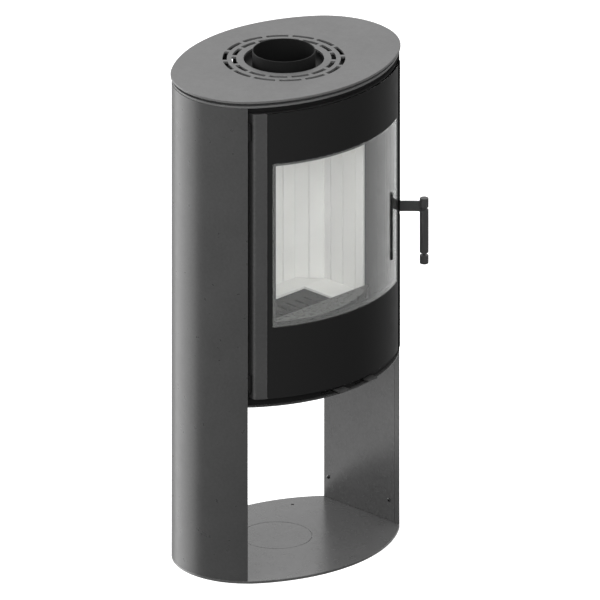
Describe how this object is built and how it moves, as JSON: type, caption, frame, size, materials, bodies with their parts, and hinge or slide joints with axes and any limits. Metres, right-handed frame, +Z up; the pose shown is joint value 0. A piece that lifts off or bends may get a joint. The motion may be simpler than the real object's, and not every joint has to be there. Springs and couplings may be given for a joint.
{
  "type": "wood burning stove",
  "caption": "Freestanding oval wood burning stove with curved glass door, lever handle, top flue collar, brick-lined firebox and open log store.",
  "frame": {"origin": "on the floor under the centre of the oval base plate", "axes": "+Z up to the flue collar, +X to the stove's own left (the viewer's right, where the handle is), -Y towards the user, out of the door"},
  "size_m": [0.621, 0.4552, 1.254],
  "materials": {
    "satin_paint": "satin heat-proof paint, dark grey",
    "dark_paint": "matt black heat-proof paint",
    "door_glass": "clear ceramic glass with a black printed border",
    "fire_brick": "cream vermiculite board, matt",
    "cast_iron": "raw cast iron",
    "rope": "braided glass-fibre rope",
    "steel": "plain turned steel",
    "zinc": "galvanised sheet"
  },
  "bodies": {
    "stove": {"air_box": "dark_paint", "air_inlet_cover": "satin_paint", "ash_box": "dark_paint", "ash_pan": "zinc", "ash_shelf": "cast_iron", "back_brick": "fire_brick", "base_plate": "satin_paint", "body_floor": "satin_paint", "door_throat": "dark_paint", "firebox_face": "dark_paint", "firebox_roof": "dark_paint", "firebox_shell": "dark_paint", "flue_collar": "dark_paint", "front_header": "dark_paint", "front_hearth_brick": "fire_brick", "front_lip": "dark_paint", "grate": "cast_iron", "latch_catch": "steel", "left_base_angle": "dark_paint", "left_cheek_plate": "satin_paint", "left_corner_brick": "fire_brick", "left_front_cheek_screw": "steel", "left_hearth_brick": "fire_brick", "left_rear_cheek_screw": "steel", "left_side_brick": "fire_brick", "left_side_shell": "satin_paint", "lower_baffle": "fire_brick", "lower_hinge_bracket": "dark_paint", "rear_hearth_brick": "fire_brick", "rear_panel": "satin_paint", "right_base_angle": "dark_paint", "right_cheek_plate": "satin_paint", "right_corner_brick": "fire_brick", "right_front_cheek_screw": "steel", "right_hearth_brick": "fire_brick", "right_rear_cheek_screw": "steel", "right_side_brick": "fire_brick", "right_side_shell": "satin_paint", "top_plate": "satin_paint", "top_spacer": "dark_paint", "under_plate": "dark_paint", "upper_baffle": "dark_paint", "upper_hinge_bracket": "dark_paint"},
    "door": {"door_frame": "dark_paint", "door_glass": "door_glass", "glass_gasket": "rope", "door_rope_seal": "rope", "left_door_strip": "satin_paint", "right_door_strip": "satin_paint", "upper_hinge_pin": "dark_paint", "lower_hinge_pin": "dark_paint", "handle_bracket": "dark_paint", "handle_pivot_pin": "steel"},
    "handle": {"handle_arm": "satin_paint", "handle_core": "dark_paint", "handle_upper_cap": "satin_paint", "handle_grip": "satin_paint", "handle_lower_cap": "satin_paint"},
    "primary_slide": {"primary_air_slide": "dark_paint"},
    "secondary_slide": {"secondary_air_slide": "dark_paint"}
  },
  "joints": [
    {"name": "door_hinge", "type": "hinge", "parent": "stove", "child": "door", "pos_m": [-0.2485, -0.128, 0.82], "axis": [0, 0, -1], "range_deg": [0, 110]},
    {"name": "handle_turn", "type": "hinge", "parent": "door", "child": "handle", "pos_m": [0.236, -0.122, 0.823], "axis": [0, 0, -1], "range_deg": [0, 30]},
    {"name": "primary_air", "type": "slide", "parent": "stove", "child": "primary_slide", "axis": [-1, 0, 0], "range_m": [0, 0.035]},
    {"name": "secondary_air", "type": "slide", "parent": "stove", "child": "secondary_slide", "axis": [-1, 0, 0], "range_m": [0, 0.035]}
  ]
}
